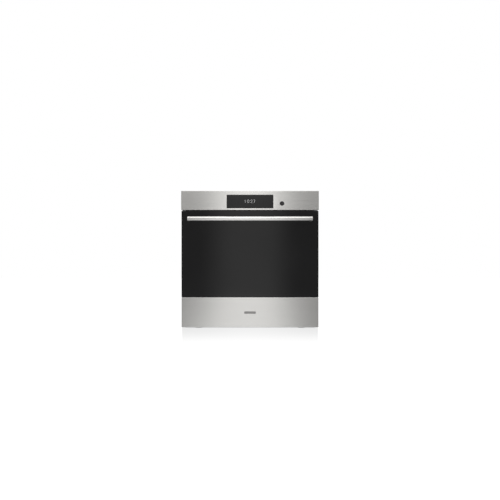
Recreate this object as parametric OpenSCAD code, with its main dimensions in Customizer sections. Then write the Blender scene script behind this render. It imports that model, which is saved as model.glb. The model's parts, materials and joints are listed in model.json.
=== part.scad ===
// Built-in electric wall oven with a drop-down glass door.
// +Z is up and the door faces -Y. The origin is the centre of the footprint, on the shelf.
// Inside the modules y is the depth behind the front face: oven_space() moves it into place.

/* [Overall size] */
// Width of the control panel, the widest piece
overall_w = 597; // [590:1:610]
// Height from the shelf to the top edge of the control panel
overall_h = 597; // [592:1:604]
// Depth from the front face to the back of the motor cover
overall_d = 571.5; // [565:0.5:590]

/* [Control panel] */
// Height of the stainless control panel
fascia_h = 83.5; // [80:0.1:88]
// Width of the display window
display_w = 202; // [160:1:220]
// Height of the display window
display_h = 58.7; // [50:0.1:60]
// Distance from the top of the panel to the top of the display
display_drop = 17.2; // [14:0.1:19]
// Diameter of the power button
button_d = 18.5; // [16:0.1:20]
// Distance of the power button to the right of the centre
button_x = 138.9; // [130:0.1:142]
// Distance of the power button below the top of the panel
button_drop = 55.1; // [50:0.1:58]

/* [Door] */
// Width of the door
door_w = 594; // [588:1:594]
// Gap between the control panel and the door
door_gap = 3.6; // [3:0.1:8]
// Height of the stainless panel below the glass
lower_panel_h = 130; // [120:0.1:132]
// Gap under the door, above the shelf
door_foot_gap = 5; // [3.5:0.1:6]
// How far the door opens, in degrees
door_open_deg = 90; // [60:1:90]

/* [Handle] */
// Length of the handle over its brackets
handle_l = 540; // [540:1:560]
// Diameter of the handle bar
handle_d = 19; // [16:0.5:22]
// Reach of the handle in front of the door face
handle_reach = 52; // [45:1:60]
// Distance of the handle's centre below the top of the door
handle_drop = 34.5; // [28:0.5:40]

/* [Cavity] */
// Clear width of the oven cavity
cavity_w = 480; // [460:1:484]
// Clear height of the oven cavity
cavity_h = 345; // [330:1:350]
// Clear depth of the oven cavity
cavity_d = 430; // [400:1:435]
// Thickness of the insulation round the cavity
insulation_t = 30; // [24:1:30]

/* [Racks] */
// Level that the wire rack is on, counted from the floor
rack_level = 2; // [1:1:4]
// Vertical distance between two rack levels
level_pitch = 58; // [54:1:60]

/* [Hidden] */
$fn = 48;
eps = 0.01;                     // extra length of a cut past a face
sheet = 1;                      // thickness of the chassis sheets
fit = 0.06;                     // radial clearance of a pin or shaft in its bore

// Depths behind the front face
front_y = handle_reach - (overall_d + handle_reach) / 2;
cabinet_y = 25;                 // plane of the cabinet front, where the side flanges rest
frame_y = 46;                   // front of the cavity frame
cavity_y = frame_y + sheet;     // mouth of the cavity
cavity_back_y = cavity_y + cavity_d;
wool_y = cavity_back_y + 1 + insulation_t;
back_y = 545;                   // rear face of the rear panel

// Heights above the shelf
foot_h = 2.5;
base_z = foot_h + 1.2;          // top of the base plate
door_z = door_foot_gap;
door_top_z = overall_h - fascia_h - door_gap;
fascia_z = overall_h - fascia_h;
glass_z = door_z + lower_panel_h + sheet;
handle_z = door_top_z - handle_drop;
cavity_z = 125;                 // floor of the cavity
cavity_mid_z = cavity_z + cavity_h / 2;
wool_top_z = cavity_z + cavity_h + 1 + insulation_t;
duct_z = wool_top_z + 2;        // underside of the cooling duct floor
roof_z = 585;                   // underside of the top cover

// Half widths
case_x = 278;                   // outside of the side panels
flange_x = 294;                 // outer edge of the cabinet flanges
door_x = door_w / 2;
body_x = 262;                   // half width of the door liner
bolt_x = handle_l / 2 - 4.4;    // screws that hold the handle brackets
bolt_r = 1.95;
bolt_hole_r = 2.1;
bolt_head_r = 3.9;

// Door hinge: pivot pin, drive pin and the rod that it pulls down
pivot_y = 13;
pivot_z = 13.5;
pivot_r = 2.75;
drive_r = 2;
crank = 10;                     // distance between the pivot pin and the drive pin
crank_off = crank * cos(45);
rod_stroke = 2 * crank_off * door_open_deg / 90;
channel_x = 247;
channel_w = 22;
channel_t = 1.5;
channel_front_y = 5;
channel_back_y = 27;
rod_y = 18;
spring_foot_z = 62;             // the spring stands on the channel's guide plate here
spring_head_z = 196;            // the rod's washer presses on it here

// Tube heaters, lamp and sensor
heater_r = 3.3;
heater_end_y = wool_y + 8;
heater_legs = 6;
broil_pitch = 58;
broil_x = (heater_legs - 1) / 2 * broil_pitch;
broil_z = cavity_z + cavity_h - 22;
bake_pitch = 64;
bake_x = (heater_legs - 1) / 2 * bake_pitch;
bake_z = cavity_z + 16;
lamp_x = -190;
lamp_z = cavity_z + 307;

// Fan, on the cavity's rear wall
fan_z = cavity_mid_z;
fan_shaft_r = 4;
motor_r = 42;

// Crossflow blower above the cavity
blower_y = 330;
blower_z = 546;
blower_l = 190;

// Rack levels and the wires that carry them
rail_r = 2.5;
rail_x = cavity_w / 2 - 7.2;
rack_x = cavity_w / 2 - 9.5;    // centre of the rack's side wires
rack_front_y = cavity_y + 16;
rack_depth = cavity_d - 55;      // ends in front of the fan cover
first_level_z = cavity_z + 40;
rack_z = first_level_z + (rack_level - 1) * level_pitch + rail_r + 0.3 + 2.5;

// Cabinet screw holes in the side flanges
flange_hole_x = 287;
flange_hole_z = [150, 430];
flange_hole_r = 2.25;

// Tapping screws of the sheet-metal covers
screw_r = 1.9;
screw_hole_r = 2;
rear_screw_x = 269;
rear_screw_z = [60, 220, 380, 540];
roof_screw_x = 269;
roof_screw_y = [90, 285, 480];

// Colours
steel = [0.78, 0.77, 0.75];
bright = [0.88, 0.88, 0.87];
zinc = [0.66, 0.68, 0.69];
enamel = [0.17, 0.18, 0.20];
black_glass = [0.06, 0.06, 0.07];
dark = [0.12, 0.12, 0.13];
wool = [0.86, 0.82, 0.70];

// ---------- helpers ----------

// Places depths that are counted from the front face.
module oven_space() { translate([0, front_y, 0]) children(); }

// The left-hand copy of a piece drawn on the right.
module handed(side) { mirror([side < 0 ? 1 : 0, 0, 0]) children(); }

// A block between two corners.
module block(x, y, z) {
  translate([x[0], y[0], z[0]]) cube([x[1] - x[0], y[1] - y[0], z[1] - z[0]]);
}

// An outline in x and z, standing across the oven from depth y back to y + t.
module upright(y, t) { translate([0, y + t, 0]) rotate([90, 0, 0]) linear_extrude(t) children(); }

// An outline in y and z, lying in a side view from x to x + t.
module sideways(x, t) { translate([x, 0, 0]) rotate([90, 0, 90]) linear_extrude(t) children(); }

// Rods along each axis, starting at a point.
module rod_x(p, r, l) { translate(p) rotate([0, 90, 0]) cylinder(r = r, h = l); }
module rod_y(p, r, l) { translate(p) rotate([-90, 0, 0]) cylinder(r = r, h = l); }
module rod_z(p, r, l) { translate(p) cylinder(r = r, h = l); }

// Corner points of a rectangle with rounded corners, centred on the origin.
function rounded(w, h, r, steps = 5) = [
  for (c = [0:3], i = [0:steps])
    let (a = 90 * c + 90 * i / steps, sx = (c == 0 || c == 3) ? 1 : -1, sz = c < 2 ? 1 : -1)
    [sx * (w / 2 - r) + r * cos(a), sz * (h / 2 - r) + r * sin(a)]
];

// The cavity's outline, grown by a margin.
module cavity_outline(margin = 0) {
  translate([0, cavity_mid_z])
    polygon(rounded(cavity_w + 2 * margin, cavity_h + 2 * margin, 14 + margin));
}

// A pan-head screw standing on z = 0 with its shank pointing down.
module screw(head_r, head_h, shank_r, shank_l) {
  difference() {
    cylinder(r = head_r, h = head_h);
    block([-head_r * 0.6, head_r * 0.6], [-0.5, 0.5], [head_h - 0.8, head_h + eps]);
    block([-0.5, 0.5], [-head_r * 0.6, head_r * 0.6], [head_h - 0.8, head_h + eps]);
  }
  translate([0, 0, -shank_l]) cylinder(r = shank_r, h = shank_l + 0.5);
}

// ---------- control panel ----------

module control_fascia() {
  half = overall_w / 2;
  display_top = overall_h - display_drop;
  color(steel) oven_space() difference() {
    block([-half, half], [0, 24], [fascia_z, overall_h]);
    block([-half + 1.2, half - 1.2], [1.2, 25], [fascia_z + 1.2, overall_h - 1.2]);
    block([-display_w / 2, display_w / 2], [-1, 3], [display_top - display_h, display_top]);
    rod_y([button_x, -1, overall_h - button_drop], button_d / 2 + 0.15, 4);
  }
}

module display_glass() {
  top = overall_h - display_drop - 0.3;
  color(black_glass) oven_space() block(
    [-display_w / 2 + 0.3, display_w / 2 - 0.3], [0.2, 3.2], [top - display_h + 0.6, top]);
}

module display_module() {
  mid = overall_h - display_drop - display_h / 2;
  color("seagreen") oven_space() {
    block([-46, 46], [4, 10], [mid - 16, mid + 16]);
    block([-52, 52], [10, 11.6], [mid - 22, mid + 22]);
  }
}

// Plastic housing behind the fascia: it frames the display glass and guides the button.
module control_carrier() {
  low = fascia_z + 3;
  top = roof_z - 0.6;
  mid = overall_h - display_drop - display_h / 2;
  half = 166;
  color(dark) oven_space() difference() {
    block([-half, half], [1.4, 46], [low, top]);
    block([-half + 2, half - 2], [12, 47], [low + 2, top - 1.6]);
    block([-display_w / 2 + 0.1, display_w / 2 - 0.1], [1, 3.4],
      [mid - display_h / 2 + 0.1, mid + display_h / 2 - 0.1]);
    block([-60, 60], [3, 13], [mid - 24, mid + 24]);
    rod_y([button_x, 1, overall_h - button_drop], button_d / 2 + 2.4, 12);
  }
}

// Cap, retaining flange behind the fascia, and the stem that works the switch.
module power_button() {
  z = overall_h - button_drop;
  color(dark) oven_space() {
    rod_y([button_x, -0.8, z], button_d / 2, 2.8);
    rod_y([button_x, 1.3, z], button_d / 2 + 1.6, 1.6);
    rod_y([button_x, 2, z], 2, 18);
  }
}

module button_switch() {
  z = overall_h - button_drop;
  color([0.25, 0.25, 0.28]) oven_space() difference() {
    union() {
      rod_y([button_x, 14, z], 5, 7);
      block([button_x - 7, button_x + 7], [18, 24], [z - 7, z + 7]);
    }
    rod_y([button_x, 13, z], 2 + fit, 10);
  }
}

module control_board() {
  low = fascia_z + 7;
  top = roof_z - 5;
  color([0.10, 0.36, 0.22]) oven_space() {
    block([-160, 160], [24, 25.6], [low, top]);
    for (x = [-130, -96, -62]) block([x, x + 22], [25.6, 41], [low + 8, low + 36]);
    for (x = [-20, 14]) rod_y([x, 25, low + 30], 9, 19);
    block([50, 96], [25.6, 30], [low + 14, low + 44]);
    block([112, 150], [25.6, 36], [low + 6, low + 20]);
  }
}

// ---------- door skin and handle ----------

module door_outer_glass() {
  color(black_glass) oven_space() difference() {
    block([-door_x, door_x], [0, 4], [glass_z, door_top_z]);
    for (s = [-1, 1]) rod_y([s * bolt_x, -1, handle_z], 5, 6);
  }
}

// Stainless tray under the glass, notched below for the hinge arms and above for the channels.
module door_lower_panel() {
  low = door_z;
  top = door_z + lower_panel_h;
  color(steel) oven_space() difference() {
    block([-door_x, door_x], [0, 17], [low, top]);
    block([-door_x + sheet, door_x - sheet], [sheet, 18], [low + sheet, top - sheet]);
    for (s = [-1, 1]) {
      block([s * channel_x - 6, s * channel_x + 6], [5.5, 21], [low - 1, low + 2]);
      block([s * channel_x - 11.5, s * channel_x + 11.5], [4.5, 21], [top - 2, top + 1]);
    }
  }
}

module door_nameplate() {
  color([0.45, 0.45, 0.46]) oven_space() upright(-0.6, 0.6)
    translate([0, door_z + 64]) polygon(rounded(50, 10, 2));
}

module handle_bar() {
  l = handle_l - 22;
  color(bright) oven_space() difference() {
    rod_x([-l / 2, -handle_reach + handle_d / 2, handle_z], handle_d / 2, l);
    rod_x([-l / 2 - 1, -handle_reach + handle_d / 2, handle_z], handle_d / 2 - 2, l + 2);
  }
}

// End bracket: a round head that closes the bar, a spigot inside it and a neck to the door.
module handle_bracket(side) {
  y = -handle_reach + handle_d / 2;
  outer = handle_l / 2;
  color(bright) oven_space() handed(side) difference() {
    union() {
      rod_x([outer - 11, y, handle_z], handle_d / 2, 11);
      rod_x([outer - 25, y, handle_z], handle_d / 2 - 2, 15);
      block([outer - 11, outer], [y, 0], [handle_z - 7, handle_z + 7]);
    }
    rod_y([bolt_x, -18, handle_z], bolt_hole_r, 19);
  }
}
module handle_bracket_left() { handle_bracket(-1); }
module handle_bracket_right() { handle_bracket(1); }

module handle_screws() {
  color(zinc) oven_space() for (s = [-1, 1])
    translate([s * bolt_x, 5.5, handle_z]) rotate([-90, 0, 0]) screw(bolt_head_r, 3, bolt_r, 20);
}

// ---------- door body ----------

// Hollow aluminium upright behind each edge of the glass; the handle bolts to it.
module door_profile(side) {
  low = glass_z + 2;
  top = door_top_z - 2;
  color(zinc) oven_space() handed(side) difference() {
    block([260, 294], [4, 20], [low, top]);
    block([261.5, 292.5], [5.5, 18.5], [low - 1, top + 1]);
    rod_y([bolt_x, 3, handle_z], bolt_hole_r, 3);
    rod_y([bolt_x, 18, handle_z], bolt_head_r + 0.1, 3);
  }
}
module door_profile_left() { door_profile(-1); }
module door_profile_right() { door_profile(1); }

// Vented cap that closes the top of the door.
module door_top_cap() {
  color(dark) oven_space() difference() {
    block([-258, 258], [4.2, 39], [door_top_z - 8, door_top_z - 4]);
    for (i = [-9:9]) block([i * 26 - 9, i * 26 + 9], [24, 30], [door_top_z - 9, door_top_z - 3]);
  }
}

// Channel section that ties the two hinge channels together behind the lower panel.
module door_bottom_rail() {
  half = channel_x - channel_w / 2;
  color(zinc) oven_space() difference() {
    block([-half, half], [3, 21], [24, 60]);
    block([-half - 1, half + 1], [4.2, 22], [25.2, 58.8]);
  }
}

module door_mid_glass() {
  color([0.45, 0.55, 0.55]) oven_space() block([-230, 230], [20, 23], [165, 470]);
}

module door_inner_glass() {
  color([0.45, 0.55, 0.55]) oven_space() block([-216, 216], [35.5, 39], [160, 445]);
}

// Pressed inner panel with the window opening.
module door_liner() {
  color(enamel) oven_space() difference() {
    block([-body_x, body_x], [28, 40], [100, 500]);
    block([-body_x + sheet, body_x - sheet], [27, 39], [100 + sheet, 500 - sheet]);
    upright(38, 3) translate([0, 302]) polygon(rounded(400, 250, 12));
  }
}

// Four heat-proof corner blocks that hold the middle and inner panes apart.
module glass_clips() {
  color([0.55, 0.30, 0.20]) oven_space() for (sx = [-1, 1], z = [[157, 181], [430, 476]])
    handed(sx) difference() {
      block([208, 235], [4, 39], z);
      block([207, 230.2], [19.9, 23.1], z[0] < 200 ? [164.8, 182] : [429, 470.2]);
      block([207, 216.2], [35.3, 40], z[0] < 200 ? [159.8, 182] : [429, 445.2]);
      block([207, 222], [3, 19.5], [z[0] - 1, z[1] + 1]);
    }
}

// ---------- hinges ----------

// Channel in the door, open to the rear and below, with the spring's guide plate.
module hinge_channel(side) {
  x0 = channel_x - channel_w / 2;
  x1 = channel_x + channel_w / 2;
  top = 246;
  color(zinc) oven_space() handed(side) difference() {
    union() {
      difference() {
        block([x0, x1], [channel_front_y, channel_back_y], [door_z + 2, top]);
        block([x0 + channel_t, x1 - channel_t], [channel_front_y + channel_t, channel_back_y + 1],
          [door_z + 1, top - channel_t]);
      }
      block([x0 + 1, x1 - 1], [channel_front_y + 1, channel_back_y], [spring_foot_z - 2, spring_foot_z]);
    }
    rod_x([x0 - 1, pivot_y, pivot_z], pivot_r + fit, channel_w + 2);
    rod_z([channel_x, rod_y, spring_foot_z - 3], 2.5 + fit, 4);
  }
}
module hinge_channel_left() { hinge_channel(-1); }
module hinge_channel_right() { hinge_channel(1); }

// Arm that stays with the chassis: eye, pivot pin, drive pin and a foot on the base plate.
module hinge_arm(side) {
  x1 = channel_x - 1.4;
  x0 = x1 - 4;
  color(zinc) oven_space() handed(side) {
    sideways(x0, 4) union() {
      translate([pivot_y, pivot_z]) circle(r = 6);
      translate([pivot_y + crank_off, pivot_z + crank_off]) circle(r = 4.2);
      polygon([[pivot_y, pivot_z - 5], [94, pivot_z - 5], [94, 48], [60, 48],
        [pivot_y + crank_off + 3, pivot_z + crank_off + 2],
        [pivot_y + crank_off - 3, pivot_z + crank_off + 2], [pivot_y - 3, pivot_z + 4]]);
    }
    rod_x([channel_x - channel_w / 2 - 1.5, pivot_y, pivot_z], pivot_r, channel_w + 3);
    rod_x([x1 - 1, pivot_y + crank_off, pivot_z + crank_off], drive_r, 4);
    block([x0 - 14, x0 + 1], [50, 94], [base_z, base_z + 3]);
    block([x0, x0 + 4], [50, 94], [base_z, pivot_z - 4]);
  }
}
module hinge_arm_left() { hinge_arm(-1); }
module hinge_arm_right() { hinge_arm(1); }

// Pull rod: slotted eye over the drive pin, round rod through the guide, washer on the spring.
module hinge_rod(side) {
  eye_z = pivot_z + crank_off;
  slot_y = [pivot_y + crank_off - drive_r - 0.4, pivot_y + crank + drive_r + 0.4];
  color(bright) oven_space() handed(side) {
    difference() {
      block([channel_x - 1, channel_x + 1], [slot_y[0] - 1.5, slot_y[1] + 2.4], [eye_z - 5, eye_z + 20]);
      block([channel_x - 2, channel_x + 2], slot_y, [eye_z - drive_r - 0.6, eye_z + drive_r + 0.6]);
    }
    rod_z([channel_x, rod_y, eye_z + 14], 2.5, spring_head_z - eye_z - 13);
    rod_z([channel_x, rod_y, spring_head_z], 6.6, 2);
  }
}
module hinge_rod_left() { hinge_rod(-1); }
module hinge_rod_right() { hinge_rod(1); }

// A ring of points across the wire of a spring, at an angle along its helix.
function wire_ring(coil_r, wire_r, a, z, sides) = [
  for (k = [0:sides - 1])
    let (r = coil_r + wire_r * cos(360 * k / sides))
    [r * cos(a), r * sin(a), z + wire_r * sin(360 * k / sides)]
];

// A compression spring standing on z = 0, swept as one closed wire.
module coil_spring(coil_r, wire_r, length, turns, steps = 12, sides = 6) {
  rings = turns * steps;
  points = [for (i = [0:rings]) each wire_ring(coil_r, wire_r, 360 * i / steps,
    wire_r + (length - 2 * wire_r) * i / rings, sides)];
  walls = [for (i = [0:rings - 1], k = [0:sides - 1])
    let (a = i * sides, b = (i + 1) * sides, n = (k + 1) % sides)
    each [[a + k, a + n, b + n], [a + k, b + n, b + k]]];
  ends = [[for (k = [sides - 1:-1:0]) k], [for (k = [0:sides - 1]) rings * sides + k]];
  polyhedron(points, concat(walls, ends));
}

module hinge_spring(side) {
  color(bright) oven_space() handed(side) translate([channel_x, rod_y, spring_foot_z + 0.1])
    coil_spring(5.6, 1.1, spring_head_z - spring_foot_z - 0.2, 14);
}
module hinge_spring_left() { hinge_spring(-1); }
module hinge_spring_right() { hinge_spring(1); }

// ---------- chassis ----------

// Steel face that the door closes on, with the cavity's mouth and two slots for the hinge arms.
module front_frame() {
  color(enamel) oven_space() difference() {
    block([-case_x + 1.2, case_x - 1.2], [frame_y, frame_y + sheet], [base_z + 0.2, duct_z - 1]);
    upright(frame_y - 1, 3) cavity_outline();
    for (s = [-1, 1])
      block([s * (channel_x - 3.4) - 3.2, s * (channel_x - 3.4) + 3.2], [frame_y - 1, frame_y + 2],
        [base_z, 52]);
  }
}

// Woven seal round the mouth.
module door_gasket() {
  color([0.30, 0.30, 0.31]) oven_space() upright(40.4, frame_y - 40.4) difference() {
    cavity_outline(14);
    cavity_outline(5);
  }
}

// Passages through the cavity's rear wall: fan shaft, lamp, sensor and the heaters' ends.
module rear_passages(clearance, l) {
  rod_y([0, cavity_back_y - 1, fan_z], 11 + clearance, l);
  rod_y([lamp_x, cavity_back_y - 1, lamp_z], 19.5 + clearance, l);
  rod_y([-lamp_x, cavity_back_y - 1, lamp_z], 2.4 + clearance, l);
  for (s = [-1, 1]) {
    rod_y([s * broil_x, cavity_back_y - 1, broil_z], heater_r + clearance, l);
    rod_y([s * bake_x, cavity_back_y - 1, bake_z], heater_r + clearance, l);
    rod_y([s * 12, cavity_back_y - 1, fan_z - 87], 2.8 + clearance, l);
  }
}

// Enamelled box, open at the front.
module cavity_liner() {
  color(enamel) oven_space() difference() {
    upright(cavity_y, cavity_d + sheet) cavity_outline(sheet);
    upright(cavity_y - 1, cavity_d + 1) cavity_outline();
    rear_passages(0.5, 3);
  }
}

module insulation() {
  color(wool) oven_space() difference() {
    upright(cavity_y + 1, wool_y - cavity_y - 1) cavity_outline(insulation_t);
    upright(cavity_y, cavity_d + 1.5) cavity_outline(sheet + 0.5);
    rear_passages(1.5, insulation_t + 5);
  }
}

module base_plate() {
  half = case_x - sheet - 0.2;
  color(zinc) oven_space() difference() {
    union() {
      block([-half, half], [33, back_y - 2], [foot_h, base_z]);
      for (s = [-1, 1]) handed(s) block([half - sheet, half], [48, back_y - 20], [base_z - 0.5, 18]);
    }
    for (i = [-5:5]) block([i * 40 - 13, i * 40 + 13], [420, 426], [foot_h - 1, base_z + 1]);
    for (i = [-5:5]) block([i * 40 - 13, i * 40 + 13], [440, 446], [foot_h - 1, base_z + 1]);
  }
}

module feet() {
  color(dark) oven_space() for (x = [-225, 225], y = [75, 500]) rod_z([x, y, 0], 15, foot_h);
}

// Side sheet with the flange that rests on the cabinet and the rear flange for the back panel.
module side_panel(side) {
  inner = case_x - sheet;
  color(zinc) oven_space() handed(side) difference() {
    union() {
      block([inner, case_x], [24, back_y - 1.1], [foot_h, roof_z]);
      block([case_x - 0.5, flange_x], [24, cabinet_y], [62, roof_z]);
      block([inner - 16, inner + 0.5], [back_y - 2.1, back_y - 1.1], [20, roof_z - 4]);
      block([inner - 16, inner + 0.5], [roof_screw_y[0] - 14, roof_screw_y[2] + 14],
        [roof_z - 1.2, roof_z - 0.2]);
    }
    for (z = flange_hole_z) rod_y([flange_hole_x, 23, z], flange_hole_r, 3);
    for (z = rear_screw_z) rod_y([rear_screw_x, back_y - 4, z], screw_hole_r, 4);
    for (y = roof_screw_y) rod_z([roof_screw_x, y, roof_z - 3], screw_hole_r, 4);
    for (i = [0:6]) block([inner - 1, case_x + 1], [400 + i * 16, 406 + i * 16], [30, 78]);
  }
}
module side_panel_left() { side_panel(-1); }
module side_panel_right() { side_panel(1); }

module top_cover() {
  color(zinc) oven_space() difference() {
    union() {
      block([-case_x, case_x], [26, back_y], [roof_z, roof_z + sheet]);
      block([-case_x, case_x], [26, 27], [roof_z, overall_h - 2]);
    }
    for (s = [-1, 1], y = roof_screw_y) rod_z([s * roof_screw_x, y, roof_z - 1], screw_hole_r, 3);
    for (i = [-5:5]) block([i * 30 - 10, i * 30 + 10], [470, 475], [roof_z - 1, roof_z + 2]);
    for (i = [-5:5]) block([i * 30 - 10, i * 30 + 10], [488, 493], [roof_z - 1, roof_z + 2]);
  }
}

module rear_panel() {
  half = case_x;
  color(zinc) oven_space() difference() {
    block([-half, half], [back_y - 1, back_y], [foot_h, roof_z - 0.2]);
    block([-38, 38], [back_y - 2, back_y + 1], [fan_z - 38, fan_z + 38]);
    for (s = [-1, 1], z = rear_screw_z)
      rod_y([s * rear_screw_x, back_y - 3, z], screw_hole_r, 4);
    for (i = [-6:6]) block([i * 30 - 10, i * 30 + 10], [back_y - 2, back_y + 1], [530, 535]);
    for (i = [-6:6]) block([i * 30 - 10, i * 30 + 10], [back_y - 2, back_y + 1], [546, 551]);
    block([-222, -178], [back_y - 2, back_y + 1], [44, 86]);
  }
}

// Box over the fan motor, with side flanges and a row of vents.
module motor_cover() {
  w = 130;
  low = fan_z - 95;
  top = fan_z + 95;
  color(zinc) oven_space() difference() {
    union() {
      block([-w, w], [back_y, overall_d], [low, top]);
      block([-w - 16, w + 16], [back_y, back_y + sheet], [low, top]);
    }
    block([-w + sheet, w - sheet], [back_y - 1, overall_d - sheet], [low + sheet, top - sheet]);
    for (i = [-5:5]) block([i * 20 - 3, i * 20 + 3], [overall_d - 2, overall_d + 1], [fan_z + 20, fan_z + 70]);
    for (i = [-5:5]) block([i * 20 - 3, i * 20 + 3], [overall_d - 2, overall_d + 1], [fan_z - 70, fan_z - 20]);
  }
}

module duct_plate() {
  color(zinc) oven_space()
    block([-case_x + 1.4, case_x - 1.4], [frame_y, back_y - 4], [duct_z, duct_z + sheet]);
}

// ---------- inside the cavity ----------

// Wire ladder on a side wall: five rails on three uprights.
module rack_support(side) {
  color(bright) oven_space() handed(side) {
    for (i = [0:4]) rod_y([rail_x, cavity_y + 14, first_level_z + i * level_pitch], rail_r, cavity_d - 50);
    for (y = [cavity_y + 30, cavity_y + cavity_d - 52])
      rod_z([cavity_w / 2 - 3.1, y, cavity_z + 24], 2.6, cavity_h - 48);
  }
}
module rack_support_left() { rack_support(-1); }
module rack_support_right() { rack_support(1); }

// Wire shelf: a rectangular frame, two cross bars below and a row of wires along it.
module wire_rack() {
  back = rack_front_y + rack_depth;
  cross_z = rack_z - 1.2;
  color(bright) oven_space() {
    for (s = [-1, 1]) rod_y([s * rack_x, rack_front_y, rack_z], 2.5, rack_depth);
    for (y = [rack_front_y, back]) rod_x([-rack_x, y, rack_z], 2.7, 2 * rack_x);
    for (s = [-1, 1], y = [rack_front_y, back]) translate([s * rack_x, y, rack_z]) sphere(r = 2.9);
    for (y = [rack_front_y + rack_depth / 3, rack_front_y + 2 * rack_depth / 3])
      rod_x([-rack_x, y, cross_z], 2, 2 * rack_x);
    for (i = [-10:10]) rod_y([i * 21, rack_front_y, rack_z + 2], 1.5, rack_depth);
  }
}

// Shallow enamelled tray lying on the rack.
module baking_tray() {
  low = rack_z + 3.5;
  y0 = rack_front_y + 22;
  y1 = y0 + 350;
  mid = (y0 + y1) / 2;
  color(enamel) oven_space() translate([0, mid, low]) difference() {
    union() {
      linear_extrude(24) polygon(rounded(430, y1 - y0 - 16, 22));
      translate([0, 0, 22.6]) linear_extrude(1.4) polygon(rounded(448, y1 - y0, 28));
    }
    translate([0, 0, 1.2]) linear_extrude(24) polygon(rounded(427.6, y1 - y0 - 18.4, 21));
  }
}

// A tube heater in a plane: straight legs joined by half-circle bends, seen from above.
module heater_loops(pitch, y0, y1, z) {
  half = (heater_legs - 1) / 2;
  for (i = [0:heater_legs - 1]) {
    outermost = i == 0 || i == heater_legs - 1;
    rod_y([(i - half) * pitch, y0, z], heater_r, (outermost ? heater_end_y : y1) - y0);
  }
  for (i = [0:heater_legs - 2]) {
    front = i % 2 == 0;
    translate([(i - half + 0.5) * pitch, front ? y0 : y1, z]) rotate([0, 0, front ? 180 : 0])
      rotate_extrude(angle = 180) translate([pitch / 2, 0]) circle(r = heater_r);
  }
}

module broil_element() {
  color([0.30, 0.28, 0.27]) oven_space()
    heater_loops(broil_pitch, 130, 400, broil_z);
}

module bake_element() {
  color([0.30, 0.28, 0.27]) oven_space()
    heater_loops(bake_pitch, 120, 400, bake_z);
}

module ring_element() {
  color([0.30, 0.28, 0.27]) oven_space() {
    translate([0, cavity_back_y - 14, fan_z]) rotate([90, 0, 0])
      rotate_extrude($fn = 64) translate([88, 0]) circle(r = 3.2, $fn = 24);
    for (x = [-12, 12]) rod_y([x, cavity_back_y - 14, fan_z - 87], 2.8, insulation_t + 22);
  }
}

// Pressed baffle in front of the fan, with a grille of slots.
module fan_cover() {
  y0 = cavity_back_y - 32;
  color(enamel) oven_space() difference() {
    upright(y0, 31.9) translate([0, fan_z]) polygon(rounded(250, 230, 20));
    upright(y0 + sheet, 40) translate([0, fan_z]) polygon(rounded(248, 228, 19));
    for (i = [-6:6]) let (h = 8 * floor(sqrt(62 * 62 - 81 * i * i) / 8 + 0.5))
      block([i * 9 - 2, i * 9 + 2], [y0 - 1, y0 + 2], [fan_z - h, fan_z + h]);
    for (s = [-1, 1], i = [-4:4])
      block([s * 115 - 2, s * 115 + 2], [y0 - 1, y0 + 2], [fan_z + i * 22 - 8, fan_z + i * 22 + 8]);
  }
}

// Radial fan on its own shaft.
module convection_fan() {
  y0 = cavity_back_y - 24;
  color([0.70, 0.70, 0.69]) oven_space() {
    rod_y([0, y0 + 17, fan_z], 72, 1);
    rod_y([0, y0 - 2, fan_z], 9, 20);
    rod_y([0, y0, fan_z], fan_shaft_r, wool_y + 40 - y0);
    for (i = [0:9]) translate([0, y0, fan_z]) rotate([0, 36 * i, 0])
      block([8, 70], [0, 17.5], [-0.6, 0.6]);
  }
}

module fan_motor() {
  y0 = wool_y + 1.2;
  color([0.40, 0.41, 0.43]) oven_space() difference() {
    union() {
      block([-60, 60], [y0, y0 + 1.5], [fan_z - 50, fan_z + 50]);
      rod_y([0, y0 + 1, fan_z], motor_r, 8);
      block([-34, 34], [y0 + 8, y0 + 34], [fan_z - 34, fan_z + 34]);
      rod_y([0, y0 + 33, fan_z], 20, 10);
    }
    rod_y([0, y0 - 1, fan_z], fan_shaft_r + fit, 42);
  }
}

// ---------- cooling blower ----------

// Scroll of the crossflow blower: open at the top rear, with its mouth to the front.
module blower_housing() {
  color(zinc) oven_space() difference() {
    block([-blower_l / 2, blower_l / 2], [blower_y - 75, blower_y + 36], [duct_z + sheet, blower_z + 36]);
    block([-blower_l / 2 + 1.2, blower_l / 2 - 1.2], [blower_y - 34, blower_y + 34.8],
      [duct_z + 3, blower_z + 34.8]);
    block([-blower_l / 2 + 1.2, blower_l / 2 - 1.2], [blower_y - 76, blower_y - 30],
      [duct_z + 3, duct_z + 34]);
    block([-blower_l / 2 - 1, blower_l / 2 + 1], [blower_y - 76, blower_y - 35.2],
      [duct_z + 35.2, blower_z + 37]);
    block([-blower_l / 2 + 8, blower_l / 2 - 8], [blower_y + 6, blower_y + 37],
      [blower_z + 8, blower_z + 37]);
    rod_x([-blower_l / 2 - 1, blower_y, blower_z], 3 + fit, blower_l + 2);
  }
}

module blower_impeller() {
  l = blower_l - 14;
  color([0.70, 0.70, 0.69]) oven_space() translate([0, blower_y, blower_z]) {
    for (x = [-l / 2, -0.75, l / 2 - 1.5]) rod_x([x, 0, 0], 27, 1.5);
    rod_x([-blower_l / 2 - 6, 0, 0], 3, blower_l + 30);
    for (i = [0:15]) rotate([22.5 * i, 0, 0]) block([-l / 2, l / 2], [20, 26.4], [-0.5, 0.5]);
  }
}

module blower_motor() {
  x0 = blower_l / 2 + 2;
  color([0.40, 0.41, 0.43]) oven_space() difference() {
    union() {
      block([x0, x0 + 30], [blower_y - 30, blower_y + 30], [duct_z + sheet, blower_z + 28]);
      rod_x([x0 + 29, blower_y, blower_z], 16, 8);
    }
    rod_x([x0 - 1, blower_y, blower_z], 3 + fit, 36);
  }
}

// ---------- lamp, sensor, mains connection, screws ----------

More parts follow.
